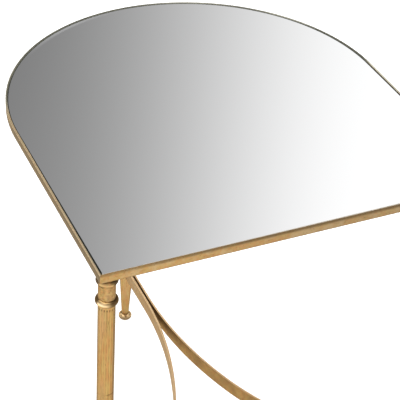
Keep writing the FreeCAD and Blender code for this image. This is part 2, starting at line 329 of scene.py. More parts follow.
# ------------------------------------------------------------------ Bent rim
# One strip of the same flat bar, bent cold round the half circle at the back
# and run straight along both sides to the mitres. Gilded like the front rail,
# but worn to grey metal on top, with olive painted shade round the back of the
# top, a painted shadow line along the left side's inner arris, olive along the
# lower edge, and grey film on the outer face, heavier to the left as painted shade.

ROUND_CUTS = 120
SIDE_CUTS = 14
OLIVE_WASH_AND_SHADE = (0.088, 0.090, 0.068, 1)
GREY_FILM_AND_SHADE = (0.063, 0.054, 0.041, 1)
PEWTER = (0.590, 0.595, 0.500, 1)


def top_face(recipe, level, high):
    """1 on the top face of a bar, fading out down its eased arrises."""
    return recipe.rise(level, high - 0.0009, high - 0.0003)


def rim_wear_and_shade(recipe, place):
    """Olive colour on the top face round the back, as painted shade standing in for the shaded inner wall
    seen from the front, thinned at two bearings and towards the outside of the left side; a painted shadow
    line along the inner arris of the left side; olive along the lower edge; and grey film on the outer face,
    heavier to the left as painted shade."""
    east = recipe.axis(place, "X")
    north = recipe.axis(place, "Y") - ROUND_CENTRE.y
    level = recipe.axis(place, "Z")
    broken = recipe.noise(place, 60.0, 3.0)
    bearing = recipe.angle(north, east)
    round_north = recipe.either(north, 0.0)
    reach = recipe.root(east * east + round_north * round_north)
    from_inside = reach - (RIM_RADIUS - BAR_WIDTH)
    right = recipe.rise(east, 0.10, 0.20)
    left = recipe.rise(east * -1, 0.17, 0.25)
    round_back = recipe.either(recipe.rise(north, 0.03, 0.09), recipe.rise(north, -0.01, 0.02) * right)
    # Painted shade: the olive round the back stands in for the shaded inner wall, and is thinned at two
    # bearings and towards the outside of the left side.
    thin = recipe.near(bearing, math.radians(70), math.radians(22)) * 0.50
    thin = recipe.either(thin, recipe.near(bearing, math.radians(38), math.radians(16)) * 0.55)
    thin = recipe.either(thin, recipe.rise(from_inside, 0.0014, 0.0022) * left * 0.55)
    top = top_face(recipe, level, RIM_HIGH.z)
    # Painted shadow: an olive line along the inner arris on the left, where the gap to the pane is shaded.
    inner_line = 1 - recipe.rise(from_inside + recipe.rise(north, -0.33, 0.02) * 0.0012, 0.0006, 0.0015)
    wash_and_shade_share = top * round_back * (0.78 + broken * 0.3) * (1 - thin)
    wash_and_shade_share = recipe.either(wash_and_shade_share, top * (1 - round_back) * (1 - right) * inner_line * 0.92)
    under = (1 - recipe.rise(level, RIM_LOW.z + 0.0002, RIM_LOW.z + 0.0016)) * broken * 0.7
    inside = (1 - recipe.rise(from_inside, 0.0002, 0.0008)) * round_back
    # Painted shade: the grey film on the outer face grows heavier towards the left.
    west = recipe.rise(east * -1, 0.05, 0.22)
    film_and_shade_share = (1 - top) * (1 - inside) * (0.45 + west * 0.29 + broken * 0.25)
    rubbed_and_highlight_share = recipe.either(inside, top * recipe.either(round_back * 0.45 + 0.35, right * 0.85))
    return recipe.either(wash_and_shade_share, under), film_and_shade_share, rubbed_and_highlight_share


rim_middle = RIM_RADIUS - BAR_WIDTH / 2
rim = saw_bar(
    "rim_bar",
    Vector((rim_middle, RIM_LOW.y, RIM_LOW.z)),
    Vector((0, 1, 0)),
    BAR_WIDTH,
    RIM_HIGH.z - RIM_LOW.z,
    RAIL_EASE,
)
side_run = Vector((0, ROUND_CENTRE.y - RIM_LOW.y, 0))
draw_bar(side_run, SIDE_CUTS)
bend_bar(ROUND_CENTRE, 180, ROUND_CUTS)
draw_bar(-side_run, SIDE_CUTS)
mitre(Vector((-RIM_RADIUS, RIM_LOW.y, 0)), Vector((1, -1, 0)))
mitre(Vector((RIM_RADIUS, RIM_LOW.y, 0)), Vector((-1, -1, 0)))
close_mesh(rim)
rim_gold = gold_leaf(
    "gold_leaf_on_rim",
    EVEN_GRAIN,
    (260.0, 260.0, 260.0),
    rim_wear_and_shade,
    wash_and_shade_colour=OLIVE_WASH_AND_SHADE,
    film=GREY_FILM_AND_SHADE,
    bare_and_highlight_colour=PEWTER,
)
coat(rim, rim_gold)
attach(rim, "root")
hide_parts("bent_rim")


# -------------------------------------------------------- Ledges and gussets
# Flat steel plates welded inside the rim's lower edge: a ledge along each run
# for the board to lie on, and a gusset in each corner for a leg. Dark primer.

PRIMER = (0.030, 0.028, 0.026, 1)
PRIMER_DUST = (0.085, 0.078, 0.070, 1)
MILL_STEEL = (0.22, 0.21, 0.20, 1)

dark_steel, recipe = new_finish("primed_steel")
place = recipe.place()
dust = recipe.noise(place, 45.0, 4.0)
scuff = recipe.rise(recipe.noise(recipe.stretch(place, (900.0, 120.0, 120.0)), 1.0, 3.0), 0.66, 0.74)
orange_peel = recipe.noise(place, 1500.0, 2.0)
dusty = recipe.blend(recipe.rise(dust, 0.45, 0.75), PRIMER, PRIMER_DUST)
recipe.feed(recipe.shader, {
    "Base Color": recipe.blend(scuff * 0.5, dusty, MILL_STEEL),
    "Metallic": scuff * 0.8,
    "Roughness": 0.55 + dust * 0.2 - scuff * 0.15,
    "Normal": recipe.bump(orange_peel + dust, 0.00015, 0.4),
})
for node in (
    "front_ledge", "left_ledge", "right_ledge",
    "front_left_gusset", "front_right_gusset", "rear_gusset",
):
    coat(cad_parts[node], dark_steel)


# ------------------------------------------------------------- Backing board
# Hardboard sawn to the top's outline, smooth face up, lying on the ledges.
# Pressed brown wood fibre, with the mesh marks of the press on its underside.

FIBRE_BROWN = (0.150, 0.085, 0.043, 1)
FIBRE_TAN = (0.270, 0.170, 0.092, 1)
FIBRE_DARK = (0.070, 0.040, 0.022, 1)
PRESS_MESH = 110.0

hardboard, recipe = new_finish("hardboard_fibre")
place = recipe.place()
matted = recipe.noise(recipe.stretch(place, (700.0, 260.0, 260.0)), 1.0, 4.0, 0.65)
crossed = recipe.noise(recipe.stretch(place, (260.0, 700.0, 260.0)), 1.0, 4.0, 0.65)
across = recipe.node("TexWave", {"bands_direction": "X"}, {"Vector": place, "Scale": PRESS_MESH}, "Fac")
along = recipe.node("TexWave", {"bands_direction": "Y"}, {"Vector": place, "Scale": PRESS_MESH}, "Fac")
colour = recipe.blend(recipe.rise(matted, 0.40, 0.65), FIBRE_BROWN, FIBRE_TAN)
colour = recipe.blend(recipe.rise(crossed, 0.55, 0.75) * 0.7, colour, FIBRE_DARK)
recipe.feed(recipe.shader, {
    "Base Color": colour,
    "Roughness": 0.72 + matted * 0.2,
    "Normal": recipe.bump(matted + crossed + across * along, 0.0002, 0.7),
})
coat(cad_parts["backing_board"], hardboard)


# --------------------------------------------------------------- Mirror pane
# Four millimetre float glass cut to the top's outline, its edge and arrises
# ground, silvered, and painted at the back. It lies loose, slid and turned a
# little, so its gap opens at the front left.

PANE_LOW, PANE_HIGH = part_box("mirror_pane")
PANE_SLIP = Vector((-0.0005, 0.0004, 0))
PANE_RADIUS = PANE_SLIP.x - PANE_LOW.x
PANE_TURN = math.radians(0.19)
PANE_FRONT = RIM_LOW.y + RIM_RADIUS - PANE_RADIUS
ARRIS = 0.0008
PANE_SIDES = 256
PANE_THICKNESS = PANE_HIGH.z - PANE_LOW.z
BACK_COAT = 0.00008
ON_LINE = 0.00001
NEAR_MIDDLE = 0.001
STRAIGHT = math.radians(0.2)
FACE_UP = 0.9
BAND_BEARING = math.radians(116)
BAND_SPREAD = math.radians(24)
BAND_START = PANE_RADIUS - 0.0075
BAND_FULL = PANE_RADIUS - 0.0030
SILVER = (0.95, 0.952, 0.955, 1)
SILVER_FOXED = (0.86, 0.85, 0.83, 1)
EDGE_GREEN_AND_SHADE = (0.020, 0.024, 0.020, 1)
EDGE_GREY_AND_SHADE = (0.060, 0.062, 0.055, 1)
EDGE_PALE_HIGHLIGHT = (0.640, 0.575, 0.470, 1)
BACK_PAINT = (0.16, 0.165, 0.17, 1)
BACK_PAINT_THIN = (0.24, 0.24, 0.235, 1)

bpy.ops.object.select_all(action="DESELECT")
bpy.ops.mesh.primitive_circle_add(
    vertices=PANE_SIDES,
    radius=PANE_RADIUS,
    location=(0, ROUND_CENTRE.y, PANE_LOW.z + BACK_COAT),
    fill_type="NGON",
)
pane = open_mesh("mirror_glass")
bpy.ops.mesh.bisect(plane_co=ROUND_CENTRE, plane_no=(0, 1, 0), clear_inner=True)
choose("edges", lambda middle: abs(middle.y - ROUND_CENTRE.y) < ON_LINE and abs(middle.x) < NEAR_MIDDLE)
bpy.ops.mesh.extrude_region_move(TRANSFORM_OT_translate={"value": (0, PANE_FRONT - ROUND_CENTRE.y, 0)})
bpy.ops.mesh.select_mode(type="FACE")
bpy.ops.mesh.select_all(action="SELECT")
bpy.ops.mesh.dissolve_limited(angle_limit=STRAIGHT)
bpy.ops.mesh.select_all(action="SELECT")
bpy.ops.mesh.extrude_region_move(TRANSFORM_OT_translate={"value": (0, 0, PANE_THICKNESS - BACK_COAT)})
choose("faces", lambda middle: abs(middle.z - PANE_HIGH.z) < ON_LINE)
bpy.ops.mesh.region_to_loop()
bpy.ops.mesh.bevel(offset=ARRIS, segments=1, affect="EDGES")
bpy.ops.mesh.select_all(action="SELECT")
bpy.ops.transform.rotate(value=-PANE_TURN, orient_axis="Z", center_override=ROUND_CENTRE)
bpy.ops.transform.translate(value=PANE_SLIP)
close_mesh(pane, sharp=30)

silvered, recipe = new_finish("silvered_glass")
place = recipe.place()
breath = recipe.noise(place, 9.0, 3.0)
wiped = recipe.noise(recipe.stretch(place, (30.0, 5.0, 5.0)), 1.0, 3.0)
foxing = recipe.rise(recipe.noise(place, 30.0, 6.0, 0.7), 0.68, 0.82)
east = recipe.axis(place, "X")
north = recipe.axis(place, "Y") - ROUND_CENTRE.y
# Painted reflection: a less metallic band round the far edge of the silvering stands in for the ground edge
# seen through the glass.
at_edge = recipe.rise(recipe.root(east * east + north * north), BAND_START, BAND_FULL)
painted_far_band = at_edge * recipe.near(recipe.angle(north, east), BAND_BEARING, BAND_SPREAD)
recipe.feed(recipe.shader, {
    "Base Color": recipe.blend(foxing * 0.25, SILVER, SILVER_FOXED),
    "Metallic": 1.0 - painted_far_band * 0.14,
    "Roughness": recipe.rise(breath * wiped, 0.22, 0.50) * 0.010 + foxing * 0.01,
})

ground_edge, recipe = new_finish("ground_glass_edge")
place = recipe.place()
wheel = recipe.noise(recipe.stretch(place, (500.0, 500.0, 4000.0)), 1.0, 3.0)
chips = recipe.noise(place, 600.0, 3.0)
# Painted highlight: the upper arris along the front is laid pale.
front = 1 - recipe.rise(recipe.axis(place, "Y"), PANE_FRONT + 0.0016, PANE_FRONT + 0.0024)
upper = recipe.rise(recipe.axis(place, "Z"), PANE_HIGH.z - ARRIS * 1.2, PANE_HIGH.z - ARRIS * 0.8)
# The ground edge is kept near black elsewhere, as painted shade of the gap round the pane.
ground_and_shade = recipe.blend(recipe.rise(wheel + chips, 0.90, 1.30), EDGE_GREEN_AND_SHADE, EDGE_GREY_AND_SHADE)
recipe.feed(recipe.shader, {
    "Base Color": recipe.blend(front * upper, ground_and_shade, EDGE_PALE_HIGHLIGHT),
    "Roughness": 0.30 + wheel * 0.25,
    "Specular IOR Level": 0.2,
    "Normal": recipe.bump(wheel + chips * 0.6, 0.0001, 0.6),
})

back_paint, recipe = new_finish("mirror_back_paint")
place = recipe.place()
runs = recipe.noise(recipe.stretch(place, (12.0, 90.0, 90.0)), 1.0, 3.0)
dust = recipe.noise(place, 500.0, 3.0)
recipe.feed(recipe.shader, {
    "Base Color": recipe.blend(recipe.rise(runs, 0.42, 0.66), BACK_PAINT, BACK_PAINT_THIN),
    "Roughness": 0.5 + dust * 0.2,
    "Normal": recipe.bump(runs + dust * 0.5, 0.0001, 0.5),
})
coat(pane, silvered, ground_edge, back_paint)
for face in pane.data.polygons:
    if face.normal.z < -FACE_UP:
        face.material_index = 2
    elif face.normal.z < FACE_UP:
        face.material_index = 1
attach(pane, "root")
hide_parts("mirror_pane")


# --------------------------------------------- Leg tops: flange, collar, bead
# Each leg is turned in pieces that plug together. A short neck with a round
# ring sits under the gusset, then a plain collar, then a bead.

LEGS = ("front_left", "front_right", "rear")


def leg_box(piece):
    """The radius of a piece of the front left leg, and its lowest and highest level."""
    low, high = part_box("front_left_leg_" + piece)
    return (high.x - low.x) / 2, low.z, high.z


def leg_axis(leg):
    low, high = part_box(leg + "_leg_bead")
    return Vector(((low.x + high.x) / 2, (low.y + high.y) / 2, 0))


LEG_RADIUS = leg_box("foot")[0]
SCREW_RADIUS = 0.003
BORE_RADIUS = 0.0087
TURNED_SIDES = 96
# ACROSS runs across the view from the camera at the front left, so the flank number marks the sides that turn
# away from the camera; the darkening laid along it in the leg, ring, collar, bead and ball finishes is
# painted shade.
ACROSS = Vector((0.896, -0.443, 0))


def keep(piece, name, value):
    """Keep a number at each point of the mesh, for the finish to read."""
    numbers = piece.data.attributes.new(name, "FLOAT", "POINT")
    for vert in piece.data.vertices:
        numbers.data[vert.index].value = value(vert.co)
    return piece


def flank(place):
    """-1 on the leg's left flank, 0 down its front and back, and 1 on its right flank."""
    return place.xy.normalized().dot(ACROSS.xy)


def turned(name, outline, hollow=False):
    """Turn a piece on the Z axis from an outline of (radius, height) points. A hollow one joins up with
    its start."""
    bpy.ops.object.select_all(action="DESELECT")
    radius, height = outline[0]
    bpy.ops.mesh.primitive_circle_add(
        vertices=TURNED_SIDES,
        radius=radius,
        location=(0, 0, height),
        fill_type="NOTHING" if hollow else "NGON",
    )
    piece = open_mesh(name)
    bpy.ops.mesh.select_mode(type="EDGE" if hollow else "FACE")
    for next_radius, next_height in outline[1:] + outline[:1] * hollow:
        bpy.ops.mesh.extrude_region_move(TRANSFORM_OT_translate={"value": (0, 0, next_height - height)})
        bpy.ops.transform.resize(value=(next_radius / radius, next_radius / radius, 1))
        radius, height = next_radius, next_height
    return keep(close_mesh(piece), "flank", flank)


def pick(piece):
    """Select one piece alone, for an operator to act on."""
    bpy.ops.object.select_all(action="DESELECT")
    piece.select_set(True)
    bpy.context.view_layer.objects.active = piece


def copy_piece(model, name):
    """Copy a piece, with its own mesh, and pick the copy."""
    copy = model.copy()
    copy.data = model.data.copy()
    copy.name = copy.data.name = name
    bpy.context.scene.collection.objects.link(copy)
    pick(copy)
    return copy


def fit_legs(model, piece_name, finish):
    """Copy a turned piece to each of the legs."""
    for leg in LEGS:
        copy = copy_piece(model, leg + "_" + model.name)
        copy.location = leg_axis(leg)
        bpy.ops.object.transform_apply(location=True)
        coat(copy, finish)
        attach(copy, "root")
        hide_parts(leg + "_leg_" + piece_name)
    bpy.data.objects.remove(model)


def arc_points(start, middle_radius, middle_height, end, steps):
    """Points of the bulge from start over (middle_radius, middle_height) to end, evenly turned."""
    half_chord = (start[1] - end[1]) / 2
    rise = middle_radius - start[0]
    bulge = (half_chord ** 2 + rise ** 2) / (2 * rise)
    centre = middle_radius - bulge
    first = math.atan2(start[1] - middle_height, start[0] - centre)
    last = math.atan2(end[1] - middle_height, end[0] - centre)
    return [
        (centre + bulge * math.cos(turn), middle_height + bulge * math.sin(turn))
        for turn in (first + (last - first) * step / steps for step in range(steps + 1))
    ]


flange_radius, flange_low, flange_high = leg_box("flange")
collar_low, collar_high = leg_box("capital")[1:]
bead_radius, bead_low, bead_high = leg_box("bead")
seam_level = leg_box("upper_shaft")[1]
taper_level = leg_box("lower_shaft")[1]
RING_BULGE = 0.004
RING_STEPS = 24
SCREW_HOLE_FOOT = 0.607
EDGE_EASE = 0.0003
ring_middle_radius = flange_radius - RING_BULGE
ring_half = math.sqrt(RING_BULGE ** 2 - (LEG_RADIUS - ring_middle_radius) ** 2)
ring_middle = flange_low + ring_half
bead_middle = (bead_low + bead_high) / 2
FLUTE_TOP = bead_middle - 0.0095


def leg_wear_and_shade(recipe, place):
    """Wash in the crease under the ring, heavier on its left as painted shade, under the bead, at the flutes'
    ends and at the seam. Dull film down both flanks as painted shade, in patches on the collar, darker
    towards its flanks as painted shade, and over the foot. A painted highlight down the collar's front."""
    level = recipe.axis(place, "Z")
    side = recipe.kept("flank")
    sunk = recipe.kept("sunk")
    broken = recipe.noise(place, 130.0, 3.0)
    left = 1 - recipe.rise(side, -0.40, -0.05)
    right = recipe.rise(side, 0.05, 0.45)
    collar = recipe.rise(level, bead_high - 0.001, bead_high + 0.001)
    # Painted shade: the crease is darker on the left flank.
    crease = recipe.near(level, flange_low - 0.0010, 0.0030) * (left * 0.66 + 0.20)
    lower_neck = recipe.near(level, bead_low, 0.0016) * 0.70
    seam = recipe.near(level, seam_level, 0.0012) * right * 0.90
    flute_end = recipe.near(level, FLUTE_TOP, 0.0050) * sunk * 0.80
    flutes = sunk * recipe.rise(broken, 0.25, 0.75) * 0.30
    wash_and_shade_share = crease
    for mark in (lower_neck, seam, flute_end, flutes):
        wash_and_shade_share = recipe.either(wash_and_shade_share, mark)
    # Painted shade down both flanks, where the legs turn away.
    flanks = recipe.rise(recipe.size(side), 0.66, 1.0) * 0.80
    patches = recipe.rise(recipe.noise(place, 260.0, 2.0), 0.42, 0.62)
    foot = (1 - recipe.rise(level, 0.030, taper_level)) * 0.20
    # Painted shade towards the collar's flanks; the patches and the foot are film.
    film_and_shade_share = recipe.either(flanks, collar * (recipe.size(side + 0.20) * 0.24 + patches * 0.34) + foot)
    # Painted highlight down the collar's front.
    rubbed_and_highlight_share = collar * recipe.near(side, 0.12, 0.30) * 0.10
    return wash_and_shade_share, film_and_shade_share, rubbed_and_highlight_share


def ring_shade_and_wear(recipe, place):
    """Painted shade over both of the ring's flanks, a painted shadow on the right of its upper side under the
    rim, a dark crease under it, and a painted highlight along its front.
    """
    level = recipe.axis(place, "Z")
    side = recipe.kept("flank")
    # Painted shade on the flanks, painted shadow on the upper right, painted highlight on the front.
    flanks = recipe.rise(recipe.size(side), 0.52, 0.80)
    upper = recipe.rise(level, ring_middle - 0.0005, ring_middle + 0.0025) * recipe.rise(side, 0.15, 0.70)
    crease = recipe.near(level, flange_low, 0.0012)
    wash_and_shade_share = recipe.either(recipe.either(flanks * 0.92, upper * 0.80), crease * 0.60)
    return wash_and_shade_share, flanks * 0.4, (1 - flanks) * (1 - upper) * 0.15


leg_gold = gold_leaf("gold_leaf_on_legs", (1.0, 1.0, 0.16), (620.0, 620.0, 22.0), leg_wear_and_shade, film=BROWN_FILM_AND_SHADE)

ring_top = (LEG_RADIUS, ring_middle + ring_half)
flange = turned(
    "flange_ring",
    [
        (SCREW_RADIUS, flange_high),
        (LEG_RADIUS, flange_high),
        *arc_points(ring_top, flange_radius, ring_middle, (LEG_RADIUS, flange_low), RING_STEPS),
        (SCREW_RADIUS, flange_low),
    ],
    hollow=True,
)
ring_gold = gold_leaf("gold_leaf_on_rings", EVEN_GRAIN, (260.0, 260.0, 900.0), ring_shade_and_wear)
fit_legs(flange, "flange", ring_gold)

collar = turned(
    "collar",
    [
        (SCREW_RADIUS, SCREW_HOLE_FOOT),
        (SCREW_RADIUS, collar_high),
        (LEG_RADIUS - EDGE_EASE, collar_high),
        (LEG_RADIUS, collar_high - EDGE_EASE),
        (LEG_RADIUS, bead_high + 0.0004),
        (LEG_RADIUS - EDGE_EASE, bead_high),
        (BORE_RADIUS, bead_high),
        (BORE_RADIUS, collar_low + 0.001),
        (BORE_RADIUS - 0.001, collar_low),
    ],
)
collar_gold = gold_leaf(
    "gold_leaf_on_collars",
    EVEN_GRAIN,
    (300.0, 300.0, 300.0),
    leg_wear_and_shade,
    film=BROWN_FILM_AND_SHADE,
)
fit_legs(collar, "capital", collar_gold)

WORN_GOLD = (0.490, 0.308, 0.122, 1)
HIGHLIGHT_GOLD = (0.960, 0.740, 0.450, 1)


def burnished_leaf(name):
    """Leaf on the bead, with a painted highlight along its proudest line at the left, darker and browner over
    its lower half, and brown painted shade on both its ends, where it turns away at the flanks, blotched on
    the right."""
    material, recipe = new_finish(name)
    place = recipe.place()
    level = recipe.axis(place, "Z")
    side = recipe.kept("flank")
    mottle = recipe.noise(place, 120.0, 4.0, 0.6)
    blotch = recipe.noise(place, 90.0, 2.0, 0.5)
    scratch = recipe.noise(recipe.stretch(place, (300.0, 300.0, 2400.0)), 1.0, 3.0)
    proud = recipe.near(level, bead_middle + 0.0012, 0.0038)
    below = (1 - recipe.rise(level, bead_middle - 0.0055, bead_middle - 0.0010)) * 0.45
    # Painted shade at both ends of the bead.
    left_end = recipe.rise(side * -1, 0.62, 0.84)
    right_end = recipe.rise(side + blotch * 0.5, 0.20, 0.90)
    wash_and_shade_share = recipe.either(recipe.either(left_end * 0.92, right_end * 0.95), below)
    # Painted highlight along the proudest line at the left.
    rubbed_and_highlight_share = proud * (1 - recipe.rise(side, -0.50, 0.55)) * recipe.rise(side, -0.90, -0.66) * 0.80
    colour = recipe.blend(recipe.rise(mottle, 0.42, 0.66), WORN_GOLD, LEAF_PALE)
    colour = recipe.blend(rubbed_and_highlight_share, colour, HIGHLIGHT_GOLD)
    recipe.feed(recipe.shader, {
        "Base Color": recipe.blend(wash_and_shade_share, colour, UMBER_WASH_AND_SHADE),
        "Metallic": 0.95 - wash_and_shade_share * 0.15,
        "Roughness": 0.24 + mottle * 0.12 + wash_and_shade_share * 0.22,
        "Specular Tint": LEAF_EDGE,
        "Normal": recipe.bump(mottle + scratch * 0.5, 0.0002, 0.4),
    })
    return material


bead = turned(
    "bead",
    [
        (BORE_RADIUS, bead_high),
        *arc_points((LEG_RADIUS, bead_high), bead_radius, bead_middle, (LEG_RADIUS, bead_low), RING_STEPS),
        (BORE_RADIUS, bead_low),
    ],
    hollow=True,
)
fit_legs(bead, "bead", burnished_leaf("burnished_gold_leaf"))


# ------------------------------------------------------------- Fluted shafts
# Two lengths of steel tube on a hidden coupling, their seam a fine line.
# Twenty shallow flutes are milled down them, with round ends, then gilded.

FLUTES = 20
FLUTE_SIDES = 10
SHAFT_SIDES = FLUTES * FLUTE_SIDES
CUTTER_RADIUS = 0.0017
FLUTE_DEPTH = 0.00055
FLUTE_FOOT = 0.152
FLUTE_ENDS = (0.0, 0.0005, 0.0008, 0.0010, 0.00115, 0.0013)
SHAFT_CUTS = 8
SEAM_EASE = 0.00025
SAME_LEVEL = 0.000001
SAME_TURN = 0.001


def flute_radius(turn, past_end):
    """The shaft's radius at an angle from a flute's middle, at a distance past the round end's centre."""
    reach = LEG_RADIUS - FLUTE_DEPTH + CUTTER_RADIUS
    left = CUTTER_RADIUS ** 2 - max(past_end, 0) ** 2 - (reach * math.sin(turn)) ** 2
    if left <= 0:
        return LEG_RADIUS
    return min(LEG_RADIUS, reach * math.cos(turn) - math.sqrt(left))


def fluted_tube(name, foot, top, flute_foot, flute_top, seam_at):
    """A tube's outer wall, its flutes sunk ring by ring, with a fine step at the seam end."""
    levels = {foot, top, seam_at + (SEAM_EASE if seam_at == foot else -SEAM_EASE)}
    levels |= {flute_top + end for end in FLUTE_ENDS if flute_top < top}
    levels |= {flute_foot - end for end in FLUTE_ENDS if flute_foot > foot}
    between = [foot + (top - foot) * cut / SHAFT_CUTS for cut in range(1, SHAFT_CUTS)]
    levels |= {level for level in between if flute_foot < level < flute_top}
    levels = sorted(levels)
    bpy.ops.object.select_all(action="DESELECT")
    bpy.ops.mesh.primitive_circle_add(
        vertices=SHAFT_SIDES,
        radius=LEG_RADIUS,
        location=(0, 0, foot),
        fill_type="NOTHING",
    )
    piece = open_mesh(name)
    bpy.ops.mesh.select_mode(type="EDGE")
    for level, last in zip(levels[1:], levels):
        bpy.ops.mesh.extrude_region_move(TRANSFORM_OT_translate={"value": (0, 0, level - last)})
    mesh = bmesh.from_edit_mesh(piece.data)
    pitch = 2 * math.pi / FLUTES
    bpy.ops.mesh.select_mode(type="VERT")
    for level in levels:
        past_end = max(level - flute_top, flute_foot - level)
        for step in range(FLUTE_SIDES // 2):
            turn = pitch * step / FLUTE_SIDES
            radius = flute_radius(turn, past_end)
            if level == seam_at:
                radius = min(radius, LEG_RADIUS) - SEAM_EASE
            if radius == LEG_RADIUS:
                continue
            bpy.ops.mesh.select_all(action="DESELECT")
            for vert in mesh.verts:
                angle = (math.atan2(vert.co.y, vert.co.x) + pitch / 2) % pitch - pitch / 2
                if abs(vert.co.z - level) < SAME_LEVEL and abs(abs(angle) - turn) < SAME_TURN:
                    vert.select_set(True)
            share = radius / LEG_RADIUS
            bpy.ops.transform.resize(value=(share, share, 1), center_override=(0, 0, level))
    bpy.ops.object.mode_set(mode="OBJECT")
    return piece


def bore_tube(piece, foot, top):
    """Bore the tube: an inner wall, bridged to the outer one at both ends."""
    bpy.ops.object.mode_set(mode="EDIT")
    bpy.ops.mesh.select_all(action="DESELECT")
    bpy.ops.mesh.primitive_circle_add(
        vertices=SHAFT_SIDES,
        radius=BORE_RADIUS,
        location=(0, 0, foot),
        fill_type="NOTHING",
    )
    bpy.ops.mesh.select_mode(type="EDGE")
    bpy.ops.mesh.extrude_region_move(TRANSFORM_OT_translate={"value": (0, 0, top - foot)})
    for level in (foot, top):
        mesh = bmesh.from_edit_mesh(piece.data)
        bpy.ops.mesh.select_all(action="DESELECT")
        for edge in mesh.edges:
            if all(abs(vert.co.z - level) < SAME_LEVEL for vert in edge.verts):
                edge.select_set(True)
        bmesh.update_edit_mesh(piece.data)
        bpy.ops.mesh.bridge_edge_loops()
    keep(close_mesh(piece), "flank", flank)
    return keep(piece, "sunk", lambda place: min((LEG_RADIUS - place.xy.length) / FLUTE_DEPTH, 1))


# The seam cuts through the flutes, so there each length is given a flute end far past it.
upper = fluted_tube("upper_shaft_tube", seam_level, bead_low, seam_level - 1, FLUTE_TOP, seam_level)
bore_tube(upper, seam_level, bead_low)
fit_legs(upper, "upper_shaft", leg_gold)
lower = fluted_tube("lower_shaft_tube", taper_level, seam_level, FLUTE_FOOT, seam_level + 1, seam_level)
bore_tube(lower, taper_level, seam_level)
fit_legs(lower, "lower_shaft", leg_gold)


# ---------------------------------------------------- Screws and couplings
# Bright zinc countersunk screws hold the legs up to the gussets; turned steel
# plugs join the shafts inside. Both are hidden once the table is together.

ZINC = (0.62, 0.64, 0.66, 1)
ZINC_BLUE = (0.48, 0.53, 0.60, 1)

zinc, recipe = new_finish("zinc_plate")
place = recipe.place()
spangle = recipe.noise(place, 700.0, 3.0)
turning = recipe.noise(recipe.stretch(place, (200.0, 200.0, 6000.0)), 1.0, 2.0)
recipe.feed(recipe.shader, {
    "Base Color": recipe.blend(recipe.rise(spangle, 0.40, 0.65), ZINC, ZINC_BLUE),
    "Metallic": 0.9 + spangle * 0.1,
    "Roughness": 0.28 + turning * 0.2,
    "Normal": recipe.bump(turning, 0.0001, 0.5),
})
for leg in LEGS:
    coat(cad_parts[leg + "_leg_screw"], zinc)
    coat(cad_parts[leg + "_leg_coupling"], dark_steel)


# ----------------------------------------------------- Feet, balls and glides
# The foot is turned to a long plain taper that plugs into the shaft. A small
# polished ball stands under it, on a nylon glide pressed to its flat.

ball_radius, ball_low, ball_high = leg_box("ball")
glide_radius, glide_low, glide_high = leg_box("glide")
ANKLE_RADIUS = 0.0065
BALL_FLAT = 0.0062
SPIGOT_RADIUS = 0.003
SPIGOT_FOOT = ball_high - 0.008
BALL_STEPS = 28
ENTRY = 0.001
SOCKET_DEPTH = 0.023

foot = turned(
    "tapered_foot",
    [
        (BORE_RADIUS - ENTRY, taper_level + SOCKET_DEPTH + ENTRY),
        (BORE_RADIUS, taper_level + SOCKET_DEPTH),
        (BORE_RADIUS, taper_level),
        (LEG_RADIUS - 0.0002, taper_level),
        (LEG_RADIUS, taper_level - 0.0004),
        (ANKLE_RADIUS + 0.00006, ball_high + 0.0010),
        (ANKLE_RADIUS - 0.00015, ball_high + 0.0003),
        (ANKLE_RADIUS - 0.0005, ball_high),
        (SPIGOT_RADIUS, ball_high),
        (SPIGOT_RADIUS, SPIGOT_FOOT),
    ],
)
fit_legs(foot, "foot", leg_gold)

BALL_GOLD = (0.720, 0.500, 0.260, 1)
BALL_DEEP_TONE = (0.480, 0.290, 0.115, 1)

polished, recipe = new_finish("polished_gold")
place = recipe.place()
level = recipe.axis(place, "Z")
film = recipe.noise(place, 160.0, 4.0)
hairline = recipe.noise(recipe.stretch(place, (500.0, 500.0, 5000.0)), 1.0, 2.0)
# Grime and painted shade round the top of the ball, under the ankle.
grime_and_ankle_shade = recipe.near(level, ball_high, 0.0012) * 0.4
# Painted shade: brown film over the lower part of the ball and on both flanks as seen from the camera.
lower = 1 - recipe.rise(level, ball_low + 0.0070, ball_low + 0.0106)
edge = recipe.either(lower * 0.90, recipe.rise(recipe.size(recipe.kept("flank")), 0.88, 1.0) * 0.55)
colour = recipe.blend(recipe.rise(film, 0.48, 0.70) * 0.3, BALL_GOLD, BALL_DEEP_TONE)
colour = recipe.blend(edge, colour, BROWN_FILM_AND_SHADE)
recipe.feed(recipe.shader, {
    "Base Color": recipe.blend(grime_and_ankle_shade, colour, UMBER_WASH_AND_SHADE),
    "Metallic": 1.0 - grime_and_ankle_shade * 0.4,
    "Specular Tint": LEAF_EDGE,
    "Roughness": 0.18 + film * 0.10 + grime_and_ankle_shade * 0.3,
    "Normal": recipe.bump(hairline + film, 0.0001, 0.35),
})
ball_middle = (ball_high + ball_low) / 2
ball = turned(
    "ball",
    [
        (SPIGOT_RADIUS, SPIGOT_FOOT),
        (SPIGOT_RADIUS, ball_high),
        *arc_points((ANKLE_RADIUS, ball_high), ball_radius, ball_middle, (BALL_FLAT, ball_low), BALL_STEPS),
    ],
)
fit_legs(ball, "ball", polished)

NYLON = (0.70, 0.68, 0.62, 1)
NYLON_SCUFF = (0.42, 0.39, 0.34, 1)
DIMPLE_RADIUS = 0.0022
DIMPLE_DEPTH = 0.0005
GLIDE_EASE = 0.0004

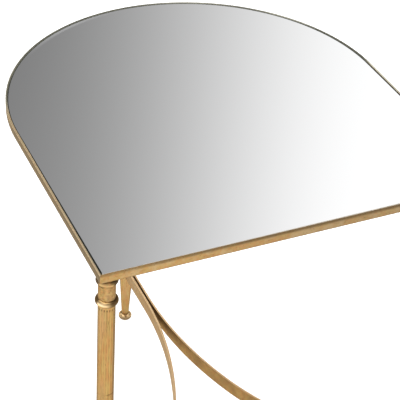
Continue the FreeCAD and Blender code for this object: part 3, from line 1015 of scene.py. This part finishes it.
nylon, recipe = new_finish("nylon_moulding")
place = recipe.place()
scuffs = recipe.noise(place, 500.0, 4.0)
recipe.feed(recipe.shader, {
    "Base Color": recipe.blend(recipe.rise(scuffs, 0.52, 0.72), NYLON, NYLON_SCUFF),
    "Roughness": 0.45 + scuffs * 0.2,
    "Normal": recipe.bump(scuffs, 0.0001, 0.4),
})
glide = turned(
    "glide_pad",
    [
        (DIMPLE_RADIUS, glide_low + DIMPLE_DEPTH),
        (DIMPLE_RADIUS + GLIDE_EASE, glide_low),
        (glide_radius - GLIDE_EASE, glide_low),
        (glide_radius, glide_low + GLIDE_EASE),
        (glide_radius, glide_high - 0.0002),
        (glide_radius - 0.0002, glide_high),
    ],
)
fit_legs(glide, "glide", nylon)


# ---------------------------------------------------------------- Stretchers
# Three flat bars on edge. Each is bent to its arcs, coped at its ends to the
# round of the legs and brazed to them, then gilded with the rest.

BAR_EASE = 0.0007
STRETCHER_LOW, STRETCHER_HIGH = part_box("right_stretcher")
STOCK_WIDTH = 0.0032
PAIR_OFFSET = 0.0033
END_REACH = 0.009
STRAIGHT_RUN = 0.088
BACK_BEND = 0.657
JOIN_DROP = 0.233
FRONT_ANGLE = math.radians(28.2)
STRAIGHT_CUTS = 4
BACK_CUTS = 28
JOIN_CUTS = 36
FRONT_CUTS = 56
COPE_SIDES = 200
COPE_DEPTH = 0.06
PINK_FILM_AND_SHADE = (0.165, 0.132, 0.108, 1)
rear_axis = leg_axis("rear")
front_axis = leg_axis("front_right")


def shaded_bar_wear(recipe, place):
    """Film over the bar's faces, dull and pink as painted shade, dark marks along the lower arris, and its
    top edge worn and painted bright as a highlight.
    """
    level = recipe.axis(place, "Z")
    broken = recipe.noise(place, 60.0, 3.0)
    top = top_face(recipe, level, STRETCHER_HIGH.z)
    under = (1 - recipe.rise(level, STRETCHER_LOW.z, STRETCHER_LOW.z + 0.0009)) * broken * 0.5
    return under, (1 - top) * (0.38 + broken * 0.25), top * (0.62 + broken * 0.6)


def brown_bar_wear_and_highlight(recipe, place):
    """Thin brown washes in clouds over the bar's faces, its top edge worn a little and painted bright as a
    highlight.
    """
    top = top_face(recipe, recipe.axis(place, "Z"), STRETCHER_HIGH.z)
    broken = recipe.noise(place, 60.0, 3.0)
    return (1 - top) * (recipe.rise(broken, 0.30, 0.75) * 0.26 + 0.22), 0.0, top * 0.85


def bend_to(start, heading, end, cuts):
    """Bend the selected end in one arc from start, leaving along heading, to end."""
    chord = end - start
    turn = heading.xy.angle_signed(chord.xy)
    left = Vector((-heading.y, heading.x, 0)).normalized()
    radius = chord.length / (2 * math.sin(-turn))
    bend_bar(start + left * radius, math.degrees(-2 * turn), cuts)


def cope(piece, leg):
    """Cut the bar's end to the round of the leg."""
    axis = leg_axis(leg)
    bpy.ops.object.select_all(action="DESELECT")
    bpy.ops.mesh.primitive_cylinder_add(
        vertices=COPE_SIDES,
        radius=LEG_RADIUS,
        depth=COPE_DEPTH,
        location=axis + Vector((0, 0, (STRETCHER_LOW.z + STRETCHER_HIGH.z) / 2)),
    )
    shaft = bpy.context.object
    pick(piece)
    cut = piece.modifiers.new("cope", "BOOLEAN")
    cut.operation = "DIFFERENCE"
    cut.solver = "EXACT"
    cut.object = shaft
    bpy.ops.object.modifier_apply(modifier=cut.name)
    bpy.data.objects.remove(shaft)
    bpy.ops.object.shade_smooth_by_angle(angle=math.radians(SHARP))


bar_level = STRETCHER_LOW.z
bar_height = STRETCHER_HIGH.z - STRETCHER_LOW.z
back_end = Vector((PAIR_OFFSET, rear_axis.y - END_REACH, bar_level))
right_bar = saw_bar("right_stretcher_bar", back_end, Vector((0, -1, 0)), STOCK_WIDTH, bar_height, BAR_EASE)
draw_bar(Vector((0, -STRAIGHT_RUN, 0)), STRAIGHT_CUTS)
back_centre = Vector((PAIR_OFFSET + BACK_BEND, back_end.y - STRAIGHT_RUN, bar_level))
join_turn = math.asin(JOIN_DROP / BACK_BEND)
bend_bar(back_centre, math.degrees(join_turn), BACK_CUTS)
join = back_centre + Matrix.Rotation(join_turn, 3, "Z") @ Vector((-BACK_BEND, 0, 0))
join_heading = Matrix.Rotation(join_turn, 3, "Z") @ Vector((0, -1, 0))
inward = Vector((-math.cos(FRONT_ANGLE), math.sin(FRONT_ANGLE), 0))
across = Vector((math.sin(FRONT_ANGLE), math.cos(FRONT_ANGLE), 0))
front_foot = Vector((front_axis.x, front_axis.y, bar_level)) + inward * END_REACH
bend_to(join, join_heading, front_foot + across * PAIR_OFFSET, JOIN_CUTS)
close_mesh(right_bar)
cope(right_bar, "rear")
cope(right_bar, "front_right")

left_bar = copy_piece(right_bar, "left_stretcher_bar")
left_bar.scale = (-1, 1, 1)
bpy.ops.object.transform_apply(scale=True)
bpy.ops.object.mode_set(mode="EDIT")
close_mesh(left_bar)

right_end = front_foot - across * PAIR_OFFSET
left_end = Vector((-right_end.x, right_end.y, bar_level))
front_heading = Vector((math.cos(FRONT_ANGLE), math.sin(FRONT_ANGLE), 0))
front_bar = saw_bar("front_stretcher_bar", left_end, front_heading, STOCK_WIDTH, bar_height, BAR_EASE)
bend_to(left_end, front_heading, right_end, FRONT_CUTS)
close_mesh(front_bar)
cope(front_bar, "front_left")
cope(front_bar, "front_right")

shaded_gold = gold_leaf(
    "shaded_gold_leaf_on_left_bar",
    EVEN_GRAIN,
    (200.0, 200.0, 200.0),
    shaded_bar_wear,
    film=PINK_FILM_AND_SHADE,
    pale=1.0,
)
brown_gold = gold_leaf(
    "brown_gold_leaf_on_bars",
    EVEN_GRAIN,
    (200.0, 200.0, 200.0),
    brown_bar_wear_and_highlight,
    pale=0.0,
)
# The left bar takes the shaded copy of the leaf: its pink film is painted shade on faces turned to the left.
for bar, node, finish in (
    (right_bar, "right_stretcher", brown_gold),
    (left_bar, "left_stretcher", shaded_gold),
    (front_bar, "front_stretcher", brown_gold),
):
    coat(bar, finish)
    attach(bar, "root")
    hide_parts(node)


# -------------------------------------------------------------------- Studio
# A plain white floor, a ring of four large soft lights with darker gaps that
# lighten upwards, and a bright soft ceiling over them, darker at its middle.
# The camera looks down from the front left.

FLOOR_WHITE = (0.59, 0.59, 0.59, 1)
FLOOR_PALE = (0.61, 0.61, 0.61, 1)
FLOOR_GLOW = 0.86
FLOOR_WIDTH = 60
GAP_LEVEL = 0.190
GAP_HEIGHT = 0.56
GAP_RISE = 0.42
PANEL_LEVEL = 1.080
HORIZON_LEVEL = 0.82
CEILING_LEVEL = 2.65
ZENITH_LEVEL = 0.62
PANELS = 4
PANEL_MIDDLE = math.radians(55.66)
HORIZON_HEIGHTS = (0.30, 0.44)
CEILING_HEIGHTS = (0.74, 0.92)
ZENITH_HEIGHTS = (0.955, 0.990)
PANEL_RISE = (-1.115, 0.200)

bpy.ops.object.select_all(action="DESELECT")
bpy.ops.mesh.primitive_plane_add(size=FLOOR_WIDTH, location=(0, 0, 0))
floor = bpy.context.object
floor.name = "floor"
floor_paint, recipe = new_finish("floor_paint")
shade = recipe.noise(recipe.place(), 3.0, 2.0)
recipe.feed(recipe.shader, {
    "Base Color": recipe.blend(shade, FLOOR_WHITE, FLOOR_PALE),
    "Roughness": 0.9,
    "Specular IOR Level": 0.0,
    "Emission Color": (1, 1, 1, 1),
    "Emission Strength": FLOOR_GLOW,
})
coat(floor, floor_paint)

world = bpy.data.worlds.new("studio")
world.use_nodes = True
bpy.context.scene.world = world
recipe = Recipe(world.node_tree)
direction = recipe.node("TexCoord", output="Generated")
east = recipe.axis(direction, "X")
north = recipe.axis(direction, "Y")
height = recipe.axis(direction, "Z")
bearing = recipe.angle(east, north)
ring = recipe.node("Math", {"operation": "COSINE"}, {0: (bearing - PANEL_MIDDLE) * PANELS})
gap = (height - GAP_HEIGHT) * GAP_RISE + GAP_LEVEL
panels = recipe.rise(ring, *PANEL_RISE) * (PANEL_LEVEL - gap) + gap
above = recipe.rise(height, *HORIZON_HEIGHTS)
sides = panels * above + (1 - above) * HORIZON_LEVEL
ceiling = recipe.rise(height, *CEILING_HEIGHTS)
zenith = recipe.rise(height, *ZENITH_HEIGHTS)
level = sides * (1 - ceiling) + ceiling * (CEILING_LEVEL + zenith * (ZENITH_LEVEL - CEILING_LEVEL))
background = world.node_tree.nodes["Background"]
grey = recipe.node("CombineColor", {}, {0: level, 1: level, 2: level})
recipe.feed(background, {"Color": grey, "Strength": 1.0})

LENS = 122.19
CAMERA_PLACE = Vector((-0.725697, -1.461141, 1.681238))
CAMERA_BEARING = math.radians(26.290)
CAMERA_DROP = math.radians(36.473)
CAMERA_ROLL = math.radians(3.836)

camera_data = bpy.data.cameras.new("camera")
camera_data.lens = LENS
camera_data.sensor_width = 36
camera = bpy.data.objects.new("camera", camera_data)
bpy.context.scene.collection.objects.link(camera)
camera.location = CAMERA_PLACE
camera.rotation_euler = (
    Matrix.Rotation(-CAMERA_BEARING, 3, "Z")
    @ Matrix.Rotation(math.pi / 2 - CAMERA_DROP, 3, "X")
    @ Matrix.Rotation(CAMERA_ROLL, 3, "Z")
).to_euler()
bpy.context.scene.camera = camera
bpy.context.scene.view_settings.view_transform = "Standard"
